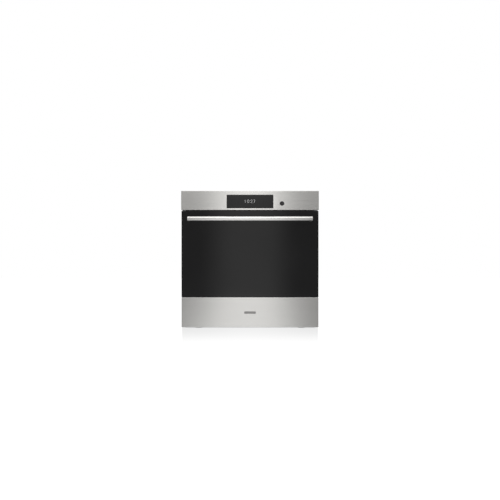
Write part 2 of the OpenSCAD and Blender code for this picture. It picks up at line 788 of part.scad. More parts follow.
module oven_lamp() {
  y = cavity_back_y;
  color([0.92, 0.88, 0.78]) oven_space() {
    rod_y([lamp_x, y - 8, lamp_z], 7, 10);
    rod_y([lamp_x, y + 1, lamp_z], 13, 30);
    rod_y([lamp_x, y + 30, lamp_z], 16, 6);
  }
}

module lamp_lens() {
  y = cavity_back_y;
  color([0.80, 0.86, 0.86]) oven_space() difference() {
    union() {
      rod_y([lamp_x, y - 12, lamp_z], 24, 12);
      rod_y([lamp_x, y - 0.5, lamp_z], 19.5, 8);
    }
    rod_y([lamp_x, y - 10, lamp_z], 17, 20);
  }
}

module temperature_sensor() {
  y = cavity_back_y;
  color(bright) oven_space() {
    rod_y([-lamp_x, y - 60, lamp_z], 2.4, 100);
    rod_y([-lamp_x, y - 1, lamp_z], 9, 0.9);
  }
}

// Connection box for the supply cable, with a gland that points down.
module terminal_box() {
  y1 = overall_d;
  color(dark) oven_space() {
    difference() {
      union() {
        block([-240, -160], [back_y, y1], [34, 104]);
        rod_z([-200, back_y + 13.2, 18], 12.4, 18);
      }
      block([-238, -162], [back_y - 1, y1 - 2], [36, 102]);
      rod_z([-200, back_y + 13.2, 17], 9, 21);
    }
    block([-230, -170], [back_y + 0.5, back_y + 12], [68, 92]);
    block([-236, -164], [back_y + 0.5, back_y + 3], [90, 103]);
  }
}

module case_screws() {
  color(bright) oven_space() {
    for (s = [-1, 1], z = rear_screw_z)
      translate([s * rear_screw_x, back_y, z]) rotate([-90, 0, 0]) screw(4, 2.2, screw_r, 7);
    for (s = [-1, 1], y = roof_screw_y)
      translate([s * roof_screw_x, y, roof_z + sheet]) screw(4, 2.2, screw_r, 7);
  }
}

// ---------- nodes ----------

control_fascia();
display_glass();
display_module();
control_carrier();
power_button();
button_switch();
control_board();
door_outer_glass();
door_lower_panel();
door_nameplate();
handle_bar();
handle_bracket_left();
handle_bracket_right();
handle_screws();
door_profile_left();
door_profile_right();
door_top_cap();
door_bottom_rail();
door_mid_glass();
door_inner_glass();
door_liner();
glass_clips();
hinge_channel_left();
hinge_channel_right();
hinge_arm_left();
hinge_arm_right();
hinge_rod_left();
hinge_rod_right();
hinge_spring_left();
hinge_spring_right();
front_frame();
door_gasket();
cavity_liner();
insulation();
base_plate();
feet();
side_panel_left();
side_panel_right();
top_cover();
rear_panel();
motor_cover();
duct_plate();
rack_support_left();
rack_support_right();
wire_rack();
baking_tray();
broil_element();
bake_element();
ring_element();
fan_cover();
convection_fan();
fan_motor();
blower_housing();
blower_impeller();
blower_motor();
oven_lamp();
lamp_lens();
temperature_sensor();
terminal_box();
case_screws();
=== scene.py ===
"""Looks of a built-in wall oven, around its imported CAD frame. Metres; -Y is the front, +Z is up."""
import json
import math

import bmesh
import bpy
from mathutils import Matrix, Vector


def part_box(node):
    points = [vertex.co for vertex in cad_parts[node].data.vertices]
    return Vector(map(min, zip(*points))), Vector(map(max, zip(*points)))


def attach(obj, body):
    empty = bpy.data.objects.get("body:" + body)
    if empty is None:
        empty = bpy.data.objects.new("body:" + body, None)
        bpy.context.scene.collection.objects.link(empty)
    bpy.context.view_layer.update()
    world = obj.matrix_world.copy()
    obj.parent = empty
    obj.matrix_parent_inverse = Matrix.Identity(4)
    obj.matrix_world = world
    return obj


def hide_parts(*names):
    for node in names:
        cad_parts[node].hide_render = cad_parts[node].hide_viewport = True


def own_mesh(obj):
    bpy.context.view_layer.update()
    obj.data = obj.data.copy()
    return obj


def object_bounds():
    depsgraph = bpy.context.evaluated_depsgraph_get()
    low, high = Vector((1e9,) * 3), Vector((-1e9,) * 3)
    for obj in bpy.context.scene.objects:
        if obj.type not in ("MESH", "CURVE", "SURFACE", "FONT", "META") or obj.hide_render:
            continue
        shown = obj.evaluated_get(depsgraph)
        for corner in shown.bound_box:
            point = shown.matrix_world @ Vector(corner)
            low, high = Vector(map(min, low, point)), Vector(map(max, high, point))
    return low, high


MM = 0.001
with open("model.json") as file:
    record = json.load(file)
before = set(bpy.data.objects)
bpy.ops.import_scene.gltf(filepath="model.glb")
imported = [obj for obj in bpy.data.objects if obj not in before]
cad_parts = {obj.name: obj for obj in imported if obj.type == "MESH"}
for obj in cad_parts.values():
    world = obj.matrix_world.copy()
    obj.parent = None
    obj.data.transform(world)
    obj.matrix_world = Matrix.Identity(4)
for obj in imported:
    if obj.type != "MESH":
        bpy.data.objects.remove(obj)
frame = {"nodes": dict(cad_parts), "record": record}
cad_low, cad_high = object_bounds()
nodes = frame["nodes"]
slot_of_node = {s["node"]: s["material_slot"] for s in frame["record"]["subparts"]}


# ---- materials

class Paint:
    """A Principled material and the few node shapes that every surface here is made of."""

    def __init__(self, name, color, **sockets):
        self.material = bpy.data.materials.new(name)
        self.material.use_nodes = True
        self.material.diffuse_color = (*color[:3], 1)
        self.tree = self.material.node_tree
        self.shader = self.tree.nodes["Principled BSDF"]
        self.shader.inputs["Base Color"].default_value = (*color[:3], 1)
        for key, value in sockets.items():
            self.shader.inputs[key.replace("_", " ")].default_value = value
        self.place = self.tree.nodes.new("ShaderNodeTexCoord").outputs["Object"]

    def node(self, kind, inputs=None, **settings):
        made = self.tree.nodes.new("ShaderNode" + kind)
        for key, value in settings.items():
            setattr(made, key, value)
        for key, value in (inputs or {}).items():
            self.put(made.inputs[key], value)
        return made

    def put(self, socket, value):
        if isinstance(value, bpy.types.NodeSocket):
            self.tree.links.new(value, socket)
        else:
            socket.default_value = value

    def stretched(self, scale):
        """Object coordinates, scaled per axis, so that noise runs in streaks."""
        return self.node("Mapping", {"Vector": self.place, "Scale": scale}).outputs["Vector"]

    def noise(self, scale=1.0, detail=2.0, rough=0.5, stretch=None, w=0.0):
        vector = self.stretched(stretch) if stretch else self.place
        made = self.node("TexNoise", {"Vector": vector, "Scale": scale, "Detail": detail,
                                      "Roughness": rough, "W": w}, noise_dimensions="4D")
        return made.outputs["Fac"]

    def cells(self, scale, feature="F1", output="Distance", randomness=1.0):
        made = self.node("TexVoronoi", {"Vector": self.place, "Scale": scale,
                                        "Randomness": randomness}, feature=feature)
        return made.outputs[output]

    def band(self, value, low, high, out_low, out_high):
        """value from low..high mapped to out_low..out_high, and held there outside."""
        made = self.node("MapRange", {0: value, 1: low, 2: high, 3: out_low, 4: out_high})
        return made.outputs[0]

    def math(self, how, a, b=0.0):
        return self.node("Math", {0: a, 1: b}, operation=how).outputs[0]

    def mix(self, share, a, b):
        made = self.node("Mix", data_type="RGBA")
        self.put(made.inputs[0], share)
        self.put(made.inputs[6], (*a[:3], 1) if isinstance(a, tuple) else a)
        self.put(made.inputs[7], (*b[:3], 1) if isinstance(b, tuple) else b)
        return made.outputs[2]

    def color(self, value):
        self.put(self.shader.inputs["Base Color"], value)

    def roughness(self, value):
        self.put(self.shader.inputs["Roughness"], value)

    def uneven(self, scale, low, high, detail=2.0):
        """Roughness that wanders between two values."""
        self.roughness(self.band(self.noise(scale, detail), 0.3, 0.7, low, high))

    def tones(self, share, color, one, two):
        """Base colour that wanders between two shades of one colour."""
        self.color(self.mix(share, shade(color, one), shade(color, two)))

    def bump(self, height, distance, strength=1.0):
        made = self.node("Bump", {"Height": height, "Distance": distance, "Strength": strength})
        self.put(self.shader.inputs["Normal"], made.outputs["Normal"])


def shade(color, factor):
    return tuple(min(1.0, c * factor) for c in color[:3])


def brushed(name, color, stretch, rough=0.175, anisotropy=0.95, turn=0.25):
    """Brushed metal: fine streaks along the axis that stretch squeezes least."""
    paint = Paint(name, color, Metallic=1.0, Anisotropic=anisotropy, Anisotropic_Rotation=turn)
    fine = paint.noise(1.0, 3.0, 0.6, stretch)
    broad = paint.noise(0.06, 2.0, 0.5, stretch, w=3.0)
    streak = paint.math("ADD", paint.math("MULTIPLY", fine, 0.75), paint.math("MULTIPLY", broad, 0.25))
    paint.tones(paint.band(streak, 0.35, 0.65, 0.0, 1.0), color, 0.955, 1.03)
    paint.roughness(paint.band(fine, 0.3, 0.7, rough - 0.02, rough + 0.04))
    paint.bump(fine, 0.00002, 0.4)
    return paint.material


def galvanised(name, color):
    """Zinc-coated sheet: spangles of a few millimetres, each with its own brightness, and soft stains."""
    paint = Paint(name, color, Metallic=1.0)
    spangle = paint.cells(150.0, output="Color")
    tone = paint.node("SeparateColor", {0: spangle}).outputs[0]
    stain = paint.noise(7.0, 4.0, 0.6)
    both = paint.math("ADD", paint.math("MULTIPLY", tone, 0.5), paint.math("MULTIPLY", stain, 0.5))
    paint.tones(both, color, 0.86, 1.10)
    paint.roughness(paint.band(both, 0.2, 0.8, 0.36, 0.50))
    paint.bump(paint.cells(150.0), 0.00002, 0.3)
    return paint.material


def enamelled(name, color):
    """Vitreous enamel: dark, glossy, with light flecks and a faint orange peel."""
    paint = Paint(name, color, Coat_Weight=0.5, Coat_Roughness=0.12, IOR=1.5)
    fleck = paint.band(paint.cells(520.0), 0.10, 0.17, 1.0, 0.0)
    sparse = paint.band(paint.noise(900.0, 1.0), 0.54, 0.58, 0.0, 1.0)
    paint.color(paint.mix(paint.math("MULTIPLY", fleck, sparse), color, (0.30, 0.32, 0.36)))
    paint.uneven(30.0, 0.18, 0.30, 3.0)
    paint.bump(paint.noise(160.0, 2.0), 0.00012, 0.35)
    return paint.material


def plated(name, color, rough=0.12):
    """Bright plating on wire or rod, with a little drawn texture."""
    paint = Paint(name, color, Metallic=1.0)
    paint.uneven(220.0, rough - 0.04, rough + 0.08, 3.0)
    paint.color(paint.mix(paint.noise(14.0, 3.0), shade(color, 0.92), color))
    paint.bump(paint.noise(900.0, 2.0), 0.00002, 0.5)
    return paint.material


def moulded(name, color, rough=0.5, grain=0.00006):
    """Moulded plastic or rubber with a spark-eroded grain."""
    paint = Paint(name, color)
    paint.tones(paint.noise(25.0, 3.0), color, 0.85, 1.2)
    paint.uneven(120.0, rough - 0.06, rough + 0.08)
    paint.bump(paint.noise(1800.0, 2.0), grain, 0.6)
    return paint.material


def clear_pane(name, color):
    """Tinted oven glass, clear enough to see through."""
    paint = Paint(name, color, Transmission_Weight=1.0, IOR=1.45)
    paint.uneven(40.0, 0.01, 0.05, 3.0)
    return paint.material


def black_glass(name, color):
    """Back-painted glass: near-black, mirror-smooth, with the faintest waviness."""
    paint = Paint(name, color, IOR=1.5, Specular_IOR_Level=0.5)
    paint.uneven(6.0, 0.05, 0.09)
    paint.bump(paint.noise(3.0, 1.0), 0.0002, 0.15)
    return paint.material


def woven(name, color):
    """Braided glass-fibre cord, with a painted highlight on the strand tops and painted shade in the gaps
    between them.
    """
    paint = Paint(name, color, Sheen_Weight=0.4, Sheen_Roughness=0.5)
    weave = paint.cells(420.0, randomness=0.35)
    # painted highlight and shade: cell centres (strand tops) lightened, cell edges (gaps) darkened,
    # following the bump
    paint.tones(paint.band(weave, 0.1, 0.6, 0.0, 1.0), color, 1.5, 0.45)
    paint.uneven(300.0, 0.75, 0.95)
    paint.bump(weave, 0.0006, -1.0)
    return paint.material


def fibrous(name, color):
    """Loose mineral wool."""
    paint = Paint(name, color, Sheen_Weight=0.3)
    fibre = paint.noise(120.0, 5.0, 0.7, (1.0, 1.0, 5.0))
    paint.tones(fibre, color, 0.6, 1.15)
    paint.roughness(paint.band(fibre, 0.3, 0.7, 0.85, 1.0))
    paint.bump(fibre, 0.003, 1.0)
    return paint.material


def heater_sheath(name, color):
    """Heat-tinted steel sheath of a tube heater."""
    paint = Paint(name, color, Metallic=0.8)
    tint = paint.noise(18.0, 3.0)
    paint.tones(tint, color, 0.65, 1.5)
    paint.uneven(400.0, 0.4, 0.6)
    paint.bump(paint.noise(900.0), 0.00004, 0.5)
    return paint.material


def fired_clay(name, color):
    """Dry, unglazed ceramic."""
    paint = Paint(name, color)
    paint.tones(paint.noise(90.0, 4.0), color, 0.8, 1.1)
    paint.uneven(400.0, 0.6, 0.8)
    paint.bump(paint.noise(1500.0, 3.0), 0.0001, 0.6)
    return paint.material


def lit_segment(name, color):
    """Glowing display segment, a little uneven along its length."""
    paint = Paint(name, color, Roughness=0.4, Emission_Color=(1.0, 0.98, 0.95, 1))
    paint.put(paint.shader.inputs["Emission Strength"], paint.band(paint.noise(300.0), 0.3, 0.7, 0.40, 0.52))
    return paint.material


def printed(name, color):
    """Matte ink, slightly uneven."""
    paint = Paint(name, color, Roughness=0.6)
    paint.tones(paint.noise(400.0, 3.0), color, 0.85, 1.1)
    paint.uneven(900.0, 0.5, 0.7)
    return paint.material


X_GRAIN = (6.0, 3000.0, 3000.0)
Z_GRAIN = (3000.0, 3000.0, 6.0)
SURFACES = {
    "brushed_stainless": brushed("brushed_stainless", (0.735, 0.73, 0.714), X_GRAIN),
    "polished_steel": plated("polished_steel", (0.80, 0.80, 0.79)),
    "black_glass": black_glass("black_glass", (0.006, 0.006, 0.0065)),
    "clear_glass": clear_pane("clear_glass", (0.72, 0.76, 0.72)),
    "enamel": enamelled("enamel", (0.022, 0.024, 0.028)),
    "galvanised": galvanised("galvanised", (0.50, 0.515, 0.53)),
    "aluminium": brushed("aluminium", (0.66, 0.66, 0.665), Z_GRAIN, 0.34, 0.4, 0.0),
    "black_plastic": moulded("black_plastic", (0.018, 0.018, 0.019)),
    "gloss_black": moulded("gloss_black", (0.016, 0.016, 0.018), 0.22, 0.00001),
    "circuit_board": moulded("circuit_board", (0.012, 0.085, 0.035), 0.35, 0.00003),
    "mineral_wool": fibrous("mineral_wool", (0.70, 0.62, 0.42)),
    "woven_seal": woven("woven_seal", (0.055, 0.055, 0.058)),
    "heater_tube": heater_sheath("heater_tube", (0.16, 0.15, 0.145)),
    "ceramic_block": fired_clay("ceramic_block", (0.60, 0.54, 0.45)),
    "motor_steel": galvanised("motor_steel", (0.25, 0.26, 0.28)),
    "foot_rubber": moulded("foot_rubber", (0.02, 0.02, 0.02), 0.7, 0.0001),
    "lamp_glass": clear_pane("lamp_glass", (0.93, 0.93, 0.90)),
    "grey_plate": brushed("grey_plate", (0.30, 0.295, 0.29), X_GRAIN, 0.35),
}
CLOCK_LIGHT = lit_segment("clock_light", (0.60, 0.62, 0.65))
BUTTON_PRINT = printed("button_print", (0.10, 0.10, 0.10))


# ---- outlines and meshes

def polar(r, degrees):
    return r * math.cos(math.radians(degrees)), r * math.sin(math.radians(degrees))


def in_mm(*pairs):
    return [(a * MM, b * MM) for a, b in pairs]


def arc(centre, r, start, end, steps=8):
    """Points along an arc, angles in degrees."""
    turns = [polar(r, start + (end - start) * i / steps) for i in range(steps + 1)]
    return [(centre[0] + a, centre[1] + b) for a, b in turns]


def circle(r, steps=48):
    return [polar(r, 360 * i / steps) for i in range(steps)]


def rounded(w, h, r, steps=6):
    """A rectangle's outline with rounded corners, centred on the origin."""
    corners = ((1, 1), (-1, 1), (-1, -1), (1, -1))
    return [point for k, (a, b) in enumerate(corners)
            for point in arc((a * (w / 2 - r), b * (h / 2 - r)), r, 90 * k, 90 * k + 90, steps)]


def slot_outline(w, h, steps=6):
    """A slot with fully round ends."""
    return rounded(w, h, min(w, h) / 2 - 0.00001, steps)


def grown(outline, by):
    """A closed outline moved outwards, or inwards for a negative distance."""
    out = []
    for i, (a, b) in enumerate(outline):
        before = Vector((a, b)) - Vector(outline[i - 1])
        after = Vector(outline[(i + 1) % len(outline)]) - Vector((a, b))
        n1 = Vector((before.y, -before.x)).normalized()
        n2 = Vector((after.y, -after.x)).normalized()
        middle = (n1 + n2).normalized()
        reach = by / max(0.4, middle.dot(n1))
        out.append((a + middle.x * reach, b + middle.y * reach))
    return out


def ring(shape, points):
    return [shape.verts.new(p) for p in points]


def skin(shape, rings, around=True):
    """Quads between each ring of vertices and the next."""
    for one, two in zip(rings, rings[1:]):
        for i in range(len(one) if around else len(one) - 1):
            j = (i + 1) % len(one)
            shape.faces.new((one[i], one[j], two[j], two[i]))


def fill(shape, *loops):
    """Flat faces inside the first loop of vertices and outside the others."""
    edges = []
    for loop in loops:
        for v, w in zip(loop, loop[1:] + loop[:1]):
            edges.append(shape.edges.get((v, w)) or shape.edges.new((v, w)))
    bmesh.ops.triangle_fill(shape, use_beauty=True, edges=edges)


def facing_y(x, y, z):
    """Places an outline in x and z, with depth along +Y."""
    return lambda a, b, t: Vector((x + a, y + t, z + b))


def facing_x(x, y, z):
    """Places an outline in y and z, with depth along +X."""
    return lambda a, b, t: Vector((x + t, y + a, z + b))


def facing_z(x, y, z):
    """Places an outline in x and y, with depth along +Z."""
    return lambda a, b, t: Vector((x + a, y + b, z + t))


def prism(shape, outline, place, start, end):
    rings = [ring(shape, [place(a, b, t) for a, b in outline]) for t in (start, end)]
    skin(shape, rings)
    shape.faces.new(rings[0])
    shape.faces.new(rings[1])


def edged_plate(shape, outline, place, start, end, edge, steps=4):
    """A plate of any outline whose front and back edges are rounded."""
    quarter = [90 * i / steps for i in range(steps + 1)]
    layers = [(polar(edge, 90 - q)[0], start + edge - polar(edge, 90 - q)[1]) for q in quarter]
    layers += [(polar(edge, q)[0], end - edge + polar(edge, q)[1]) for q in quarter]
    rings = [ring(shape, [place(a, b, t) for a, b in grown(outline, reach - edge)]) for reach, t in layers]
    skin(shape, rings)
    fill(shape, rings[0])
    fill(shape, rings[-1])


def turned(shape, profile, place, steps=48):
    """Turns a profile of (depth, radius) pairs about the axis of place, closed by flat ends."""
    rings = [ring(shape, [place(a, b, t) for a, b in circle(r, steps)]) for t, r in profile]
    skin(shape, rings)
    shape.faces.new(rings[0])
    shape.faces.new(rings[-1])


def eased_path(points, radius, closed=False, steps=6):
    """A path of straight runs whose corners are rounded by arcs."""
    points = [Vector(p) for p in points]
    out = []
    for i, corner in enumerate(points):
        if not closed and i in (0, len(points) - 1):
            out.append(corner)
            continue
        back = (points[i - 1] - corner).normalized()
        ahead = (points[(i + 1) % len(points)] - corner).normalized()
        half = back.angle(ahead) / 2
        cut = radius / math.tan(half)
        middle = corner + (back + ahead).normalized() * (radius / math.sin(half))
        first, last = corner + back * cut - middle, corner + ahead * cut - middle
        out += [middle + first.slerp(last, k / steps).normalized() * radius for k in range(steps + 1)]
    return out


def swept(shape, path, radius, sides=12, closed=False):
    """A round wire along a path."""
    count = len(path)
    rings = []
    across = None
    for i, point in enumerate(path):
        before = path[i - 1] if i or closed else point
        after = path[(i + 1) % count] if i < count - 1 or closed else point
        along = (after - before).normalized()
        if across is None:
            across = along.orthogonal().normalized()
        else:
            across = (across - along * across.dot(along)).normalized()
        other = along.cross(across)
        rings.append(ring(shape, [point + across * a + other * b
                                  for a, b in circle(radius, sides)]))
    skin(shape, rings + rings[:1] if closed else rings)
    if not closed:
        shape.faces.new(rings[0])
        shape.faces.new(rings[-1])


SHARPEST = 0.2 * MM                       # smallest radius of a fold's inner corners


def tray(shape, low, high, corner, fold, sheet, facing=-1, holes=(), steps=5):
    """Sheet-metal tray between two corners: a flat face with holes, round folds and straight returns.

    facing is -1 for a face at the low end of Y and 1 for the high end. A hole is (centre, outline, lip).
    """
    middle = (low + high) / 2
    w, h, deep = high.x - low.x, high.z - low.z, high.y - low.y
    plane = low.y if facing < 0 else high.y

    def layer(outline, depth, centre=(0, 0)):
        place = facing_y(middle.x + centre[0], plane - facing * depth, middle.z + centre[1])
        return ring(shape, [place(a, b, 0) for a, b in outline])

    def wall(start, reach):
        rings = []
        for i in range(steps + 1):
            side, down = polar(reach, 90 - 90 * i / steps)
            inset = start + reach - side
            rings.append(layer(rounded(w - 2 * inset, h - 2 * inset, max(corner - inset, SHARPEST)),
                               start + reach - down))
        rings.append(layer(rounded(w - 2 * start, h - 2 * start, max(corner - start, SHARPEST)), deep))
        return rings

    outside = wall(0, fold)
    inside = wall(sheet, max(fold - sheet, SHARPEST))
    skin(shape, outside)
    skin(shape, inside)
    skin(shape, [outside[-1], inside[-1]])
    front, back = [outside[0]], [inside[0]]
    for centre, outline, lip in holes:
        rings = []
        for i in range(4):
            side, down = polar(lip, 90 - 30 * i)
            rings.append(layer(grown(outline, lip - side), lip - down, centre))
        rings.append(layer(outline, sheet, centre))
        skin(shape, rings)
        front.append(rings[0])
        back.append(rings[-1])
    fill(shape, *front)
    fill(shape, *back)


class Rib:
    """A pressed rib of a sheet, from one point to another, as distances along and across the sheet."""

    def __init__(self, start, end, half, depth):
        self.start, self.end, self.half, self.depth = Vector(start), Vector(end), half, depth

    def lines(self, axis):
        """Where the sheet's grid needs lines, along one of its two directions."""
        ends = {self.start[axis], self.end[axis]}
        return [e + s * f * self.half for e in ends for f in (0, 0.3, 0.5, 0.7, 1) for s in (-1, 1)]

    def press(self, u, v):
        run = self.end - self.start
        point = Vector((u, v)) - self.start
        share = min(1.0, max(0.0, point.dot(run) / run.length_squared))
        away = (point - run * share).length / self.half
        t = min(1.0, max(0.0, (1 - away) / 0.7))
        return self.depth * t * t * (3 - 2 * t)


def folded_sheet(shape, path, start, end, thick, place, ribs=()):
    """A bent sheet: its path seen edge-on, run from start to end; ribs press it along its normal."""
    path = [Vector(p) for p in path]
    lengths = [0.0]
    for a, b in zip(path, path[1:]):
        lengths.append(lengths[-1] + (b - a).length)
    across = sorted({round(x, 6) for rib in ribs for x in rib.lines(0) if 0 < x < lengths[-1]}
                    | {round(x, 6) for x in lengths})
    along = sorted({round(x, 6) for rib in ribs for x in rib.lines(1) if start < x < end} | {start, end})

    def on_path(u):
        i = max(k for k in range(len(lengths) - 1) if lengths[k] <= u + 1e-6 or k == 0)
        share = (u - lengths[i]) / (lengths[i + 1] - lengths[i])
        run = (path[i + 1] - path[i]).normalized()
        if abs(share) < 1e-3 and i > 0:
            run = (run + (path[i] - path[i - 1]).normalized()).normalized()
        return path[i].lerp(path[i + 1], share), Vector((-run.y, run.x))

    faces = []
    for side in (-0.5, 0.5):
        grid = []
        for u in across:
            point, normal = on_path(u)
            line = []
            for v in along:
                spot = point + normal * (side * thick + sum(rib.press(u, v) for rib in ribs))
                line.append(shape.verts.new(place(spot.x, spot.y, v)))
            grid.append(line)
        skin(shape, grid, around=False)
        faces.append(grid)
    low, high = faces
    for rim in ([g[0] for g in (low, high)], [g[-1] for g in (low, high)],
                [[line[0] for line in g] for g in (low, high)],
                [[line[-1] for line in g] for g in (low, high)]):
        skin(shape, rim, around=False)


# ---- pieces

def object_of(name, shape):
    """Makes a bmesh into an object of the scene."""
    mesh = bpy.data.meshes.new(name)
    shape.to_mesh(mesh)
    shape.free()
    thing = bpy.data.objects.new(name, mesh)
    bpy.context.scene.collection.objects.link(thing)
    return thing


def carve(thing, cutter):
    """Takes a bmesh of closed prisms out of a piece and keeps the result as its mesh."""
    bmesh.ops.recalc_face_normals(cutter, faces=cutter.faces)
    tool = object_of("cutter", cutter)
    mesh = tool.data
    modifier = thing.modifiers.new("cut", "BOOLEAN")
    modifier.object = tool
    modifier.solver = "EXACT"
    bpy.context.view_layer.update()
    result = bpy.data.meshes.new_from_object(thing.evaluated_get(bpy.context.evaluated_depsgraph_get()))
    thing.modifiers.clear()
    thing.data = result
    bpy.data.objects.remove(tool)
    bpy.data.meshes.remove(mesh)


def piece(name, shape, slot, body, *replaced, cutter=None, smooth=32, surface=None):
    """Makes a bmesh into a piece of the oven: shading, material, body and the CAD nodes it stands for."""
    bmesh.ops.recalc_face_normals(shape, faces=shape.faces)
    thing = object_of(name, shape)
    if cutter:
        carve(thing, cutter)
    thing.data.materials.clear()
    thing.data.materials.append(surface or SURFACES[slot])
    thing.data.shade_smooth()
    thing.data.set_sharp_from_angle(angle=math.radians(smooth))
    weighted = thing.modifiers.new("weighted", "WEIGHTED_NORMAL")
    weighted.keep_sharp = True
    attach(thing, body)
    if replaced:
        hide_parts(*replaced)
    return thing


def ease_edges(width, *names, segments=2, angle=40):
    """Rounds the sharp edges of CAD nodes with modifiers; the CAD meshes themselves stay as they are."""
    for name in names:
        weld = nodes[name].modifiers.new("weld", "WELD")
        weld.merge_threshold = 0.00001
        bevel = nodes[name].modifiers.new("bevel", "BEVEL")
        bevel.width = width
        bevel.segments = segments
        bevel.limit_method = "ANGLE"
        bevel.angle_limit = math.radians(angle)
        bevel.loop_slide = False
        bevel.harden_normals = True


for name, thing in nodes.items():
    thing.data.materials.clear()
    thing.data.materials.append(SURFACES[slot_of_node[name]])

# ---- control panel

PANEL_CORNER = 1.2 * MM                   # at the corners of both steel panels
FASCIA_FOLD = 1.8 * MM
FASCIA_SHEET = 1.2 * MM
DISPLAY_GAP = 0.3 * MM                    # between the display glass and its opening
DIGITS_UP = 1.0 * MM                      # of the clock above the middle of the display
BUTTON_FLANGE = 1.6 * MM                  # how far the retaining flange reaches past the cap
BUTTON_GAP = 0.15 * MM
DISH_DEPTH = 0.4 * MM                     # of the button's face

fascia_low, fascia_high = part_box("control_fascia")
display_low, display_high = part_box("display_glass")
button_low, button_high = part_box("power_button")
fascia_mid = (fascia_low + fascia_high) / 2
display_mid = (display_low + display_high) / 2
button_mid = (button_low + button_high) / 2
button_r = (button_high.x - button_low.x) / 2 - BUTTON_FLANGE


def control_panel():
    """Folded steel sheet with rounded openings for the display and the button."""
    shape = bmesh.new()
    window = rounded(display_high.x - display_low.x + 2 * DISPLAY_GAP,
                     display_high.z - display_low.z + 2 * DISPLAY_GAP, 0.8 * MM, 4)
    button_hole = circle(button_r + BUTTON_GAP, 64)
    lip = 0.6 * MM
    tray(shape, fascia_low, fascia_high, PANEL_CORNER, FASCIA_FOLD, FASCIA_SHEET, holes=[
        ((display_mid.x - fascia_mid.x, display_mid.z - fascia_mid.z), window, lip),
        ((button_mid.x - fascia_mid.x, button_mid.z - fascia_mid.z), button_hole, lip)])
    piece("fascia_sheet", shape, "brushed_stainless", "chassis", "control_fascia")


def button_cap():
    """Dished cap, its retaining flange and the stem that works the switch."""
    inner = button_r - 1.5 * MM
    cap_h, flange_h, stem_r = 2.1 * MM, 1.6 * MM, 2 * MM
    deep = button_high.y - button_low.y
    edge = arc((0.9 * MM, button_r - 0.9 * MM), 0.9 * MM, 180, 90, 6)
    dish = DISH_DEPTH + 0.05 * MM
    profile = [(dish, 0.3 * MM), (dish, inner - 1.2 * MM), (0.1 * MM, inner), (0, inner + 0.3 * MM)]
    profile += edge + [(cap_h, button_r), (cap_h, button_r + BUTTON_FLANGE),
                       (cap_h + flange_h, button_r + BUTTON_FLANGE), (cap_h + flange_h, stem_r),
                       (deep - 0.4 * MM, stem_r), (deep, stem_r - 0.4 * MM)]
    shape = bmesh.new()
    turned(shape, profile, facing_y(button_mid.x, button_low.y, button_mid.z), 96)
    piece("button_cap", shape, "gloss_black", "power_button", "power_button")


def flat_strokes(shape, strokes, place, width, thick):
    """Pen strokes as flat ribbons with round edges: lists of points in an outline's plane."""
    for stroke in strokes:
        closed = stroke[0] == stroke[-1]
        path = [Vector((a, b, 0)) for a, b in (stroke[:-1] if closed else stroke)]
        start = len(shape.verts)
        swept(shape, path, width / 2, 10, closed)
        shape.verts.ensure_lookup_table()
        for v in shape.verts[start:]:
            v.co = place(v.co.x, v.co.y, v.co.z * thick / width)


def power_mark():
    """The power symbol, printed in the dish of the button."""
    r, pen, thick = 2.9 * MM, 0.6 * MM, 0.1 * MM
    strokes = [arc((0, 0), r, 125, 415, 32), [(0, 0.9 * MM), (0, 2.1 * MM), (0, 3.4 * MM)]]
    shape = bmesh.new()
    middle = facing_y(button_mid.x, button_low.y + DISH_DEPTH + 0.03 * MM, button_mid.z)
    flat_strokes(shape, strokes, middle, pen, thick)
    piece("power_mark", shape, "gloss_black", "power_button", surface=BUTTON_PRINT)


def clock_digits():
    """Four thin figures and a colon, drawn in a cell one unit high."""
    zero = [polar(1, 10 * i) for i in range(36)]
    zero = [(0.28 + 0.28 * a, 0.5 + 0.5 * b) for a, b in zero]
    figures = {
        "1": [[(0.10, 0.80), (0.30, 1.0), (0.30, 0.5), (0.30, 0.0)]],
        "0": [zero + zero[:1]],
        "2": [arc((0.28, 0.72), 0.27, 170, -25, 12)
              + [(0.40, 0.42), (0.02, 0.0), (0.30, 0.0), (0.58, 0.0)]],
        "7": [[(0.0, 1.0), (0.3, 1.0), (0.56, 1.0), (0.36, 0.5), (0.18, 0.0)]],
        ":": [[(0.0, 0.28), (0.0, 0.31)], [(0.0, 0.68), (0.0, 0.71)]],
    }
    high, pen, thick = 12.6 * MM, 0.95 * MM, 0.12 * MM
    starts = {-1.95: "1", -0.91: "0", -0.07: ":", 0.21: "2", 1.19: "7"}
    strokes = [[((x0 + a) * high, (b - 0.5) * high) for a, b in stroke]
               for x0, figure in starts.items() for stroke in figures[figure]]
    shape = bmesh.new()
    middle = facing_y(display_mid.x, display_low.y - 0.04 * MM, display_mid.z + DIGITS_UP)
    flat_strokes(shape, strokes, middle, pen, thick)
    piece("clock_digits", shape, "lamp_glass", "chassis", surface=CLOCK_LIGHT)


# ---- door

DOOR_FOLD = 1.8 * MM
DOOR_SHEET = 1.0 * MM
HANDLE_END = 11 * MM                      # length of a bracket's head

panel_low, panel_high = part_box("door_lower_panel")
face_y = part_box("door_outer_glass")[0].y  # plane of the door's face
bar_low, bar_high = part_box("handle_bar")
bar_mid = (bar_low + bar_high) / 2
bar_r = (bar_high.z - bar_low.z) / 2


def lower_panel():
    """Pressed panel under the glass, notched for the hinge arms below and the channels above."""
    shape = bmesh.new()
    tray(shape, panel_low, panel_high, PANEL_CORNER, DOOR_FOLD, DOOR_SHEET)
    cutter = bmesh.new()
    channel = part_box("hinge_channel_right")
    channel_x = (channel[0].x + channel[1].x) / 2
    for side in (-1, 1):
        for wide, z, front in ((12, panel_low.z, 5.5), (23, panel_high.z, 4.5)):
            notch = rounded(wide * MM, 6 * MM, 0.8 * MM, 3)
            prism(cutter, notch, facing_y(side * channel_x, panel_low.y, z), front * MM, 30 * MM)
    piece("lower_panel_sheet", shape, "brushed_stainless", "door", "door_lower_panel", cutter=cutter)


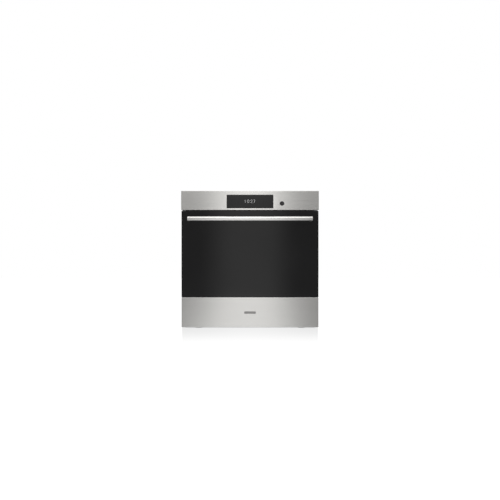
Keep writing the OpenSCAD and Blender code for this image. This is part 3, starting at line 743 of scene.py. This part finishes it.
def nameplate():
    """A blank plate with a fine raised rim."""
    low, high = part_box("door_nameplate")
    middle = (low + high) / 2
    place = facing_y(middle.x, low.y, middle.z)
    outline = rounded(high.x - low.x, high.z - low.z, 2 * MM, 8)
    thick, rim, edge = high.y - low.y, 0.7 * MM, 0.15 * MM
    profile = ((0, thick), (0, edge), (edge, 0), (rim, 0), (rim + 0.1 * MM, edge))
    shape = bmesh.new()
    loops = [ring(shape, [place(a, b, t) for a, b in grown(outline, -inset)]) for inset, t in profile]
    skin(shape, loops)
    fill(shape, loops[0])
    fill(shape, loops[-1])
    piece("blank_nameplate", shape, "grey_plate", "door", "door_nameplate")


def handle_tube():
    """The bar, a tube whose ends are eased where the brackets close it."""
    half, edge, wall = (bar_high.x - bar_low.x) / 2, 0.8 * MM, 2 * MM
    profile = [(-half, bar_r - wall), (-half, bar_r - edge), (edge - half, bar_r),
               (half - edge, bar_r), (half, bar_r - edge), (half, bar_r - wall)]
    shape = bmesh.new()
    turned(shape, profile, facing_x(bar_mid.x, bar_mid.y, bar_mid.z), 96)
    piece("handle_tube", shape, "brushed_stainless", "door", "handle_bar")


def handle_end(side, name, node):
    """Cast bracket: a round head that closes the bar, blended into a neck that flares at the door."""
    neck, fillet, flare = 7 * MM, 5 * MM, 2 * MM
    reach = face_y - bar_mid.y
    rise = neck + fillet
    run = math.sqrt((bar_r + fillet) ** 2 - rise ** 2)
    blend_turn = math.degrees(math.atan2(rise, run))
    upper = arc((reach - flare, neck + flare), flare, 0, -90, 5)
    upper += arc((run, rise), fillet, -90, blend_turn - 180, 6)
    head = arc((0, 0), bar_r, blend_turn, 360 - blend_turn, 40)
    lower = [(a, -b) for a, b in reversed(upper)]
    outline = upper + head[1:-1] + lower
    x = bar_high.x if side > 0 else bar_low.x - HANDLE_END
    shape = bmesh.new()
    edged_plate(shape, outline, facing_x(x, bar_mid.y, bar_mid.z), 0, HANDLE_END, 0.8 * MM)
    piece(name, shape, "brushed_stainless", "door", node)


def inner_door_panel():
    """Enamelled inner panel, open to the front, with the window for the inner pane."""
    low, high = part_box("door_liner")
    middle = (low + high) / 2
    window_z = 302 * MM
    window = rounded(400 * MM, 250 * MM, 12 * MM, 8)
    shape = bmesh.new()
    tray(shape, low, high, 6 * MM, 3 * MM, DOOR_SHEET, facing=1,
         holes=[((0, window_z - middle.z), window, 0.8 * MM)])
    piece("inner_door_sheet", shape, "enamel", "door", "door_liner")


def spring(name, node):
    """Round-wire compression spring, coiled to the length of its CAD node."""
    low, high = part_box(node)
    middle = (low + high) / 2
    wire, turns, steps = 1.1 * MM, 14, 24
    flat_end, coiled = 0.045, 0.91        # shares of the wire that lie flat at one end, and that climb
    coil_r = (high.x - low.x) / 2 - wire
    bottom, top = low.z + wire, high.z - wire
    path = []
    for i in range(turns * steps + 1):
        share = i / (turns * steps)
        eased = min(1.0, max(0.0, (share - flat_end) / coiled))
        a, b = polar(coil_r, 360 * i / steps)
        path.append(Vector((middle.x + a, middle.y + b, bottom + (top - bottom) * eased)))
    shape = bmesh.new()
    swept(shape, path, wire, 10)
    thing = piece(name, shape, "polished_steel", "door", node)
    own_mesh(thing)


# ---- chassis

SHEET = 1 * MM
RIB_HALF = 9 * MM
RIB_DEPTH = 2.2 * MM
HANDLE_REACH = 52 * MM
SCREW_HOLE = circle(2.25 * MM, 32)
GLAND_X = -200 * MM
panel_y = cad_low.y + HANDLE_REACH        # plane of the control panel's face


def bend(points, radius=1.2 * MM):
    return eased_path([(a, b, 0) for a, b in points], radius, steps=4)


def flat_path(points):
    return [p.xy for p in points]


def side_sheet(side, name, node):
    """Side sheet with three pressed ribs, cooling slots, the cabinet flange and the rear flange."""
    low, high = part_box(node)
    inner = 277 * MM
    front, back = low.y + SHEET / 2, high.y - SHEET / 2
    x = inner + SHEET / 2
    reach = 294 * MM
    path = flat_path(bend([(reach, front), (x, front), (x, back), (inner - 16 * MM, back)]))
    flange = reach - x
    ribs = [Rib((flange + 75 * MM, z), (flange + 440 * MM, z), RIB_HALF, RIB_DEPTH)
            for z in (0.17, 0.30, 0.43)]
    shape = bmesh.new()
    folded_sheet(shape, path, low.z, high.z, SHEET, lambda a, b, z: Vector((side * a, b, z)), ribs)
    cutter = bmesh.new()
    slot = slot_outline(6 * MM, 48 * MM)
    for i in range(7):
        prism(cutter, slot, facing_x(side * x, panel_y + (403 + 16 * i) * MM, 54 * MM), -5 * MM, 5 * MM)
    for z in (150 * MM, 430 * MM):
        prism(cutter, SCREW_HOLE, facing_y(side * 287 * MM, front, z), -3 * MM, 3 * MM)
    cut_back = rounded(20 * MM, 120 * MM, 1 * MM)
    prism(cutter, cut_back, facing_y(side * (x + 11.5 * MM), front, 2 * MM), -3 * MM, 3 * MM)
    piece(name, shape, "galvanised", "chassis", node, cutter=cutter)


def top_sheet():
    """Top cover, turned up at the front, with four pressed ribs and two rows of vents."""
    low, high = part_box("top_cover")
    z = 585 * MM + SHEET / 2
    path = flat_path(bend([(low.y + SHEET / 2, high.z), (low.y + SHEET / 2, z), (high.y, z)]))
    rise = high.z - z
    ribs = [Rib((rise + 70 * MM, x * MM), (rise + 410 * MM, x * MM), RIB_HALF, -RIB_DEPTH)
            for x in (-195, -65, 65, 195)]
    shape = bmesh.new()
    folded_sheet(shape, path, low.x, high.x, SHEET, lambda a, b, x: Vector((x, a, b)), ribs)
    cutter = bmesh.new()
    slot = slot_outline(20 * MM, 5 * MM)
    for y in (472.5, 490.5):
        for i in range(-5, 6):
            prism(cutter, slot, facing_z(30 * i * MM, panel_y + y * MM, z), -5 * MM, 5 * MM)
    piece("top_sheet", shape, "galvanised", "chassis", "top_cover", cutter=cutter)


def rear_sheet():
    """Flat rear sheet with four pressed ribs, vents and the openings behind its two covers."""
    low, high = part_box("rear_panel")
    y = (low.y + high.y) / 2
    left = low.x
    ribs = [Rib((x * MM - left, 0.14), (x * MM - left, 0.47), RIB_HALF, -RIB_DEPTH) for x in (-205, 205)]
    ribs += [Rib((-140 * MM - left, z), (140 * MM - left, z), RIB_HALF, -RIB_DEPTH) for z in (0.15, 0.45)]
    shape = bmesh.new()
    path = [(low.x, y), (high.x, y)]
    folded_sheet(shape, path, low.z, high.z, SHEET, lambda a, b, z: Vector((a, b, z)), ribs)
    cutter = bmesh.new()
    slot = slot_outline(20 * MM, 5 * MM)
    for z in (532.5, 548.5):
        for i in range(-6, 7):
            prism(cutter, slot, facing_y(30 * i * MM, y, z * MM), -5 * MM, 5 * MM)
    prism(cutter, rounded(76 * MM, 76 * MM, 2 * MM), facing_y(0, y, 297.5 * MM), -5 * MM, 5 * MM)
    prism(cutter, rounded(44 * MM, 42 * MM, 2 * MM), facing_y(GLAND_X, y, 65 * MM), -5 * MM, 5 * MM)
    piece("rear_sheet", shape, "galvanised", "chassis", "rear_panel", cutter=cutter)


def rating_plate():
    """A blank plate on the rear sheet, held by two rivets."""
    y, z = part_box("rear_panel")[1].y, 75 * MM
    shape = bmesh.new()
    outline = rounded(96 * MM, 46 * MM, 3 * MM)
    edged_plate(shape, outline, facing_y(120 * MM, y, z), 0, 0.5 * MM, 0.15 * MM)
    piece("rating_plate", shape, "grey_plate", "chassis")
    shape = bmesh.new()
    dome = in_mm((0, 2.2), (0.7, 2.0), (1.2, 1.4), (1.45, 0.3))
    for x in (76, 164):
        turned(shape, dome, facing_y(x * MM, y + 0.3 * MM, z), 24)
    piece("rating_plate_rivets", shape, "aluminium", "chassis")


def motor_hood():
    """Box over the fan motor with rows of slots and two flanges, held by six screws."""
    low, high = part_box("motor_cover")
    flange = 16 * MM
    shape = bmesh.new()
    box_low, box_high = Vector((low.x + flange, low.y, low.z)), Vector((high.x - flange, high.y, high.z))
    tray(shape, box_low, box_high, 5 * MM, 4 * MM, SHEET, facing=1)
    middle_z = (low.z + high.z) / 2
    for side in (-1, 1):
        x = side * (box_high.x + flange / 2 - 0.3 * MM)
        edged_plate(shape, rounded(flange + 0.6 * MM, high.z - low.z - 8 * MM, 3 * MM),
                    facing_y(x, low.y, middle_z), 0, SHEET, 0.2 * MM)
    cutter = bmesh.new()
    for z in (-45, 45):
        for i in range(-5, 6):
            prism(cutter, slot_outline(6 * MM, 50 * MM),
                  facing_y(20 * i * MM, high.y, middle_z + z * MM), -8 * MM, 5 * MM)
    piece("motor_hood", shape, "galvanised", "chassis", "motor_cover", cutter=cutter)
    x = box_high.x + flange / 2 + 0.5 * MM
    places = [facing_y(side * x, low.y + SHEET, middle_z + z * MM) for side in (-1, 1) for z in (-75, 0, 75)]
    screws("hood_screws", ((0, 4), (1.1, 3.9), (1.8, 3.2), (2.1, 0.3)), places, (5, 0.9, 1.2), (0.9, 5, 1.2))


def screws(name, head, places, *slots):
    """Turned screw heads, with driver slots of (width, height, depth of its floor) in millimetres."""
    shape = bmesh.new()
    cutter = bmesh.new() if slots else None
    for place in places:
        turned(shape, in_mm(*head), place, 32)
        for w, h, floor in slots:
            prism(cutter, rounded(w * MM, h * MM, 0.2 * MM, 2), place, floor * MM, 4 * MM)
    piece(name, shape, "polished_steel", "chassis", cutter=cutter)


def connection_box():
    """Plastic box over the mains terminals, with its cable gland and lid screws."""
    low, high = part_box("terminal_box")
    shape = bmesh.new()
    box_low = Vector((low.x, low.y, 34 * MM))
    tray(shape, box_low, high, 4 * MM, 3 * MM, 2 * MM, facing=1)
    gland(shape, facing_z(GLAND_X, low.y + 13.2 * MM, 0), low.z)
    piece("connection_box", shape, "black_plastic", "chassis", "terminal_box")
    places = [facing_y(x * MM, high.y - 1.6 * MM, z * MM) for x, z in ((-231, 43), (-169, 95))]
    screws("lid_screws", ((0, 3.2), (1.0, 3.1), (1.5, 2.4), (1.6, 0.3)), places, (4, 0.8, 0.9))


def gland(shape, down, end):
    """The cable gland under the box: a bored sleeve with a fluted nut, down to the height end."""
    bore, outer, steps, flutes, ripple = 9 * MM, 12.4 * MM, 96, 16, 0.35 * MM
    profile = [(34.5 * MM, bore), (34.5 * MM, outer), (31 * MM, outer), (30.5 * MM, outer - 0.8 * MM),
               (29.5 * MM, outer - 0.8 * MM), (29 * MM, outer), (21 * MM, outer),
               (18.6 * MM, outer - 1.6 * MM), (end, outer - 2.2 * MM), (end, bore)]
    rings = []
    for t, r in profile:
        fluted = ripple if 20 * MM < t < 30 * MM and r == outer else 0
        radii = [r + fluted * (math.cos(math.tau * flutes * i / steps) - 1) for i in range(steps)]
        rings.append(ring(shape, [down(*polar(radii[i], 360 * i / steps), t) for i in range(steps)]))
    skin(shape, rings + rings[:1])


def seal():
    """Braided seal round the cavity's mouth: a rope with an oval section."""
    low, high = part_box("door_gasket")
    middle, half_t = (low + high) / 2, (high.y - low.y) / 2
    half_w = 4.5 * MM
    w, h = high.x - low.x - 2 * half_w, high.z - low.z - 2 * half_w
    place = facing_y(*middle)
    shape = bmesh.new()
    rings = []
    for out, back in circle(1, 14):
        outline = grown(rounded(w, h, 23 * MM, 14), out * half_w)
        rings.append(ring(shape, [place(a, b, back * half_t) for a, b in outline]))
    skin(shape, rings + rings[:1])
    piece("gasket_rope", shape, "woven_seal", "chassis", "door_gasket", smooth=60)


# ---- inside the cavity

FIRST_LEVEL = 165 * MM                    # height of the lowest rung
LEVEL_PITCH = 58 * MM


def ladder(side, name, node):
    """Side rack support: five rungs with ends bent to the wall, on two uprights."""
    low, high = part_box(node)
    rung_r, upright_r = 2.5 * MM, 2.6 * MM
    inner = min(abs(low.x), abs(high.x)) + rung_r
    wall = max(abs(low.x), abs(high.x)) - upright_r
    shape = bmesh.new()
    y0, y1 = low.y + rung_r, high.y - rung_r
    for i in range(5):
        z = FIRST_LEVEL + i * LEVEL_PITCH
        path = [(side * x, y, z) for x, y in ((wall, y0), (inner, y0), (inner, y1), (wall, y1))]
        swept(shape, eased_path(path, 2.16 * MM, steps=5), rung_r, 16)
    for y in (panel_y + 77 * MM, panel_y + 425 * MM):
        path = [Vector((side * wall, y, low.z + (high.z - low.z) * k)) for k in (0, 0.5, 1)]
        swept(shape, path, upright_r, 16)
    piece(name, shape, "polished_steel", "chassis", node, smooth=50)


def shelf():
    """Wire shelf: a frame with rounded corners, two cross bars and a row of wires on top."""
    low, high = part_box("wire_rack")
    frame_r, cross_r, wire_r, inset = 2.6 * MM, 2.0 * MM, 1.5 * MM, 2.9 * MM
    x = high.x - inset
    y0, y1 = low.y + inset, high.y - inset
    z = high.z - 3.5 * MM
    shape = bmesh.new()
    corners = [(-x, y0, z), (x, y0, z), (x, y1, z), (-x, y1, z)]
    swept(shape, eased_path(corners, 9 * MM, closed=True, steps=8), frame_r, 16, closed=True)
    for k in (1, 2):
        y = y0 + (y1 - y0) * k / 3
        swept(shape, [Vector((s * (x - 1 * MM), y, z - 1.2 * MM)) for s in (-1, 0, 1)], cross_r, 14)
    for i in range(-10, 11):
        path = [Vector((i * 21 * MM, y0 + (y1 - y0) * k, z + 2 * MM)) for k in (0, 0.5, 1)]
        swept(shape, path, wire_r, 12)
    piece("shelf_wires", shape, "polished_steel", "rack", "wire_rack", smooth=50)


def drawn_tray():
    """Enamelled tray: rounded bottom edges, steep walls and a rolled rim."""
    low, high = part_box("baking_tray")
    middle = (low + high) / 2
    w, h, tall = high.x - low.x, high.y - low.y, high.z - low.z
    wall, corner, thick, outer_r, inner_r = 8.5 * MM, 28 * MM, 1.2 * MM, 6 * MM, 5 * MM
    outer = [(wall + outer_r - side, outer_r - down)
             for side, down in (polar(outer_r, 90 - 15 * i) for i in range(7))]
    rim = [(wall, tall - 3 * MM), (wall - 0.5 * MM, tall - 2 * MM), (wall - 1.6 * MM, tall - 1.5 * MM),
           (1.2 * MM, tall - 1.5 * MM), (0.4 * MM, tall - 1.3 * MM), (0, tall - 0.75 * MM),
           (0.4 * MM, tall - 0.2 * MM), (1.2 * MM, tall), (wall - 0.8 * MM, tall),
           (wall + 0.5 * MM, tall - 0.5 * MM), (wall + thick, tall - 1.8 * MM)]
    inside = [(wall + thick + inner_r - side, thick + inner_r - down)
              for side, down in (polar(inner_r, 15 * i) for i in range(7))]
    place = facing_z(middle.x, middle.y, low.z)
    shape = bmesh.new()
    rings = []
    for inset, z in outer + rim + inside:
        outline = rounded(w - 2 * inset, h - 2 * inset, max(corner - inset, 4 * MM), 10)
        rings.append(ring(shape, [place(a, b, z) for a, b in outline]))
    skin(shape, rings)
    fill(shape, rings[0])
    fill(shape, rings[-1])
    piece("drawn_tray", shape, "enamel", "rack", "baking_tray", smooth=45)


def fan_baffle():
    """Pressed cover in front of the fan: a round grille of slots, side slots and four screws."""
    low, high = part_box("fan_cover")
    middle = (low + high) / 2
    shape = bmesh.new()
    tray(shape, low, high, 20 * MM, 6 * MM, SHEET)
    cutter = bmesh.new()
    pitch, grille_r = 9 * MM, 62 * MM
    for i in range(-6, 7):
        half = math.sqrt(grille_r ** 2 - (i * pitch) ** 2)
        slot = slot_outline(4.2 * MM, 2 * half)
        prism(cutter, slot, facing_y(i * pitch, low.y, middle.z), -5 * MM, 4 * MM)
    for side in (-1, 1):
        for i in range(-4, 5):
            prism(cutter, slot_outline(4 * MM, 16 * MM),
                  facing_y(side * 105 * MM, low.y, middle.z + 22 * i * MM), -5 * MM, 4 * MM)
    piece("fan_baffle", shape, "enamel", "chassis", "fan_cover", cutter=cutter)
    places = [facing_y(x * MM, low.y - 1.6 * MM, middle.z + z * MM) for x in (-84, 84) for z in (-84, 84)]
    screws("baffle_screws", ((0, 0.3), (0.2, 2.6), (0.8, 3.8), (1.65, 4)), places)


def lamp_dome():
    """Domed glass cover of the oven lamp."""
    low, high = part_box("lamp_lens")
    middle = (low + high) / 2
    r = (high.x - low.x) / 2
    flat = 12 * MM                        # depth of the part that stands in the cavity
    outside = in_mm((0, 0.4), (0.15, 6), (0.9, 12), (2.4, 17), (5, 21))
    outside += [(8.5 * MM, r - 0.6 * MM), (10 * MM, r), (flat, r)]
    inside = in_mm((12, 17), (8, 17), (5, 14.5), (3.2, 10), (2.6, 5), (2.5, 0.4))
    shape = bmesh.new()
    turned(shape, outside + inside, facing_y(middle.x, low.y, middle.z), 72)
    piece("lamp_dome", shape, "lamp_glass", "chassis", "lamp_lens")


# ---- assembly

control_panel()
button_cap()
power_mark()
clock_digits()
lower_panel()
nameplate()
handle_tube()
inner_door_panel()
top_sheet()
rear_sheet()
rating_plate()
motor_hood()
connection_box()
seal()
shelf()
drawn_tray()
fan_baffle()
lamp_dome()
for hand, way in (("left", -1), ("right", 1)):
    handle_end(way, f"handle_end_{hand}", f"handle_bracket_{hand}")
    spring(f"spring_wire_{hand}", f"hinge_spring_{hand}")
    side_sheet(way, f"side_sheet_{hand}", f"side_panel_{hand}")
    ladder(way, f"ladder_{hand}", f"rack_support_{hand}")

ease_edges(0.5 * MM, "door_outer_glass", segments=3)
ease_edges(0.6 * MM, "display_glass", "feet")
ease_edges(0.3 * MM, "front_frame", "door_profile_left", "door_profile_right", "door_top_cap",
           "door_bottom_rail", "hinge_channel_left", "hinge_channel_right", "hinge_arm_left",
           "hinge_arm_right", "hinge_rod_left", "hinge_rod_right", "door_inner_glass", "door_mid_glass",
           "glass_clips", "base_plate", "duct_plate")

# ---- stage, light and camera

PLINTH_H = 0.08
LENS = 100.0
SENSOR = 36.0
FRAME_W = 2.1675                          # what the camera sees across at the door's face
CAMERA_LIFT = 0.0418                      # above the middle of the oven
camera_y = face_y - LENS / SENSOR * FRAME_W


def slab(name, low, high, mat):
    """A box of the stage, not part of the object."""
    shape = bmesh.new()
    bmesh.ops.create_cube(shape, size=1)
    for v in shape.verts:
        v.co = Vector([low[i] if v.co[i] < 0 else high[i] for i in range(3)])
    thing = object_of(name, shape)
    thing.data.materials.append(mat)
    return thing


class Glow(Paint):
    """Light of the stage: brightness that varies smoothly over a surface."""

    def __init__(self, tree):
        self.tree = tree
        self.place = self.node("TexCoord").outputs["Object"]

    def smooth(self, value, low, high, out_low, out_high):
        made = self.node("MapRange", {0: value, 1: low, 2: high, 3: out_low, 4: out_high},
                         interpolation_type="SMOOTHSTEP")
        return made.outputs[0]

    def axis(self, which, vector=None):
        return self.node("SeparateXYZ", {0: vector or self.place}).outputs[which]

    def fading(self, flat, fade, bright, dim, middle=0.0):
        """Bright round the middle of X, dim at both sides."""
        away = self.math("ABSOLUTE", self.math("SUBTRACT", self.axis(0), middle))
        return self.smooth(away, flat, fade, bright, dim)


def stage_paint(name, diffuse):
    """Pale matte stage surface with a glow of its own, one for the camera and one for all else."""
    paint = Paint(name, (diffuse, diffuse, diffuse), Roughness=0.9, Specular_IOR_Level=0.0)
    paint.shader.inputs["Emission Color"].default_value = (1, 1, 1, 1)
    return paint, Glow(paint.tree)


def glow_by_ray(paint, glow, shown, unseen):
    looked_at = glow.node("LightPath").outputs["Is Camera Ray"]
    seen = glow.math("MULTIPLY", looked_at, shown)
    other = glow.math("MULTIPLY", glow.math("SUBTRACT", 1.0, looked_at), unseen)
    paint.put(paint.shader.inputs["Emission Strength"], glow.math("ADD", seen, other))
    return paint.material


def floor_white():
    paint, glow = stage_paint("floor_white", 0.25)
    return glow_by_ray(paint, glow, 1.0, glow.fading(0.10, 0.42, 0.73, 0.12, -0.025))


def plinth_white():
    """The plinth's face carries a painted shadow and reflection of the oven: faintly grey under the oven,
    fading to white downwards.
    """
    paint, glow = stage_paint("plinth_white", 0.02)
    # painted shade: grey just under the oven, fading to white lower down, for the oven's soft shadow and
    # reflection
    fall = glow.smooth(glow.axis(2), -PLINTH_H, 0.0, 1.0, 0.0)
    painted_shade = glow.fading(0.0, 0.30, 0.87, 0.815)
    shown = glow.math("ADD", painted_shade, glow.math("MULTIPLY", fall, glow.math("SUBTRACT", 1.02, painted_shade)))
    return glow_by_ray(paint, glow, shown, 0.4)


def glowing(name, fading, rise=(0, 1, 1, 1), left=0.0):
    """Bare light: bright in the middle of X, changing with height by rise, and lifted far to the left."""
    mat = bpy.data.materials.new(name)
    mat.use_nodes = True
    mat.node_tree.nodes.clear()
    glow = Glow(mat.node_tree)
    level = glow.math("MULTIPLY", glow.fading(*fading), glow.smooth(glow.axis(2), *rise))
    level = glow.math("ADD", level, glow.smooth(glow.axis(0), -1.0, -0.64, left, 0.0))
    shader = glow.node("Emission", {"Color": (1.0, 0.992, 0.978, 1), "Strength": level})
    out = glow.node("OutputMaterial")
    glow.put(out.inputs[0], shader.outputs[0])
    return mat


def light_card(name, low, high, mat):
    card = slab(name, low, high, mat)
    card.visible_camera = False
    card.visible_shadow = False


slab("floor", (-14, -14, -PLINTH_H - 0.02), (14, 14, -PLINTH_H), floor_white())
plinth_x = cad_high.x - 1.5 * MM
slab("plinth", (-plinth_x, face_y + 0.04, -PLINTH_H), (plinth_x, cad_high.y - 0.03, 0), plinth_white())
light_card("front_card", (-1.6, camera_y - 0.31, -1.2), (1.6, camera_y - 0.3, 3.4),
           glowing("front_glow", (0.135, 0.445, 0.70, 0.23, -0.01), (0.62, 1.7, 1.0, 2.6), 0.55))
light_card("top_card", (-1.3, -1.9, 2.9), (1.3, 0.3, 2.91),
           glowing("top_glow", (0.1, 0.6, 2.3, 0.8, -0.03)))

world = bpy.data.worlds.new("studio")
bpy.context.scene.world = world
world.use_nodes = True
sky = Glow(world.node_tree)
height = sky.axis(2, sky.node("TexCoord").outputs["Generated"])
glow = sky.smooth(height, -0.1, 0.75, 0.34, 0.8)
looked_at = sky.node("LightPath").outputs["Is Camera Ray"]
sky.put(world.node_tree.nodes["Background"].inputs[1], sky.math("MAXIMUM", glow, looked_at))
world.node_tree.nodes["Background"].inputs[0].default_value = (1, 1, 1, 1)

camera_data = bpy.data.cameras.new("camera")
camera_data.lens = LENS
camera_data.sensor_width = SENSOR
camera_data.clip_end = 100
camera = bpy.data.objects.new("camera", camera_data)
bpy.context.scene.collection.objects.link(camera)
camera.location = (0, camera_y, cad_high.z / 2 + CAMERA_LIFT)
camera.rotation_euler = (math.radians(90), 0, 0)
bpy.context.scene.camera = camera
bpy.context.scene.view_settings.view_transform = "Standard"
